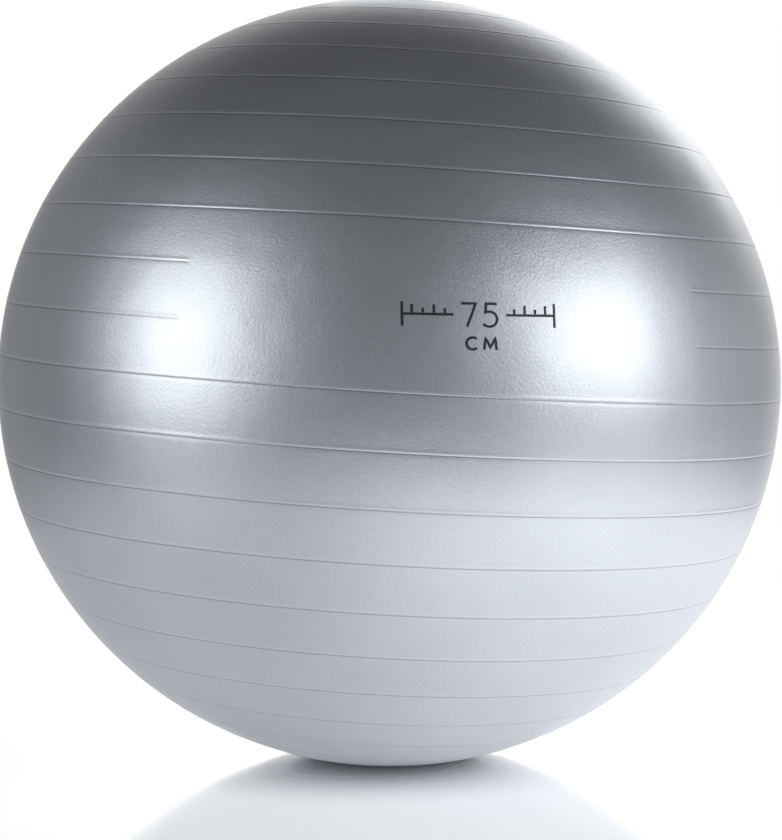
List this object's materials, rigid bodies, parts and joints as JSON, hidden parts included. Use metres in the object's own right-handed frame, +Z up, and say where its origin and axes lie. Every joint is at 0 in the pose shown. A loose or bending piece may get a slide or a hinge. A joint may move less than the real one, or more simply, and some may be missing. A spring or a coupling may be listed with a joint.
{
  "type": "exercise ball",
  "caption": "Large inflated round ball with low raised ribs around it, a smooth label panel, a flat resting foot and a pull-out air plug in a flush valve; to sit, lean or roll on.",
  "frame": {"origin": "on the floor, in the middle of the flat foot that the ball rests on", "axes": "+Z up; the smooth label panel faces -Y; +X is to the right of someone who looks at the panel"},
  "size_m": [0.7506, 0.7508, 0.73],
  "materials": {
    "pearl_skin": "satin",
    "valve_insert": "satin",
    "plug": "satin",
    "print_ink": "satin"
  },
  "bodies": {
    "ball": {"ball_skin": "pearl_skin", "valve_body": "valve_insert"},
    "plug": {"valve_plug": "plug"}
  },
  "joints": [
    {"name": "plug_pull", "type": "slide", "parent": "ball", "child": "plug", "axis": [-0.1319, 0.9846, 0.1151], "range_m": [0, 0.027]}
  ]
}
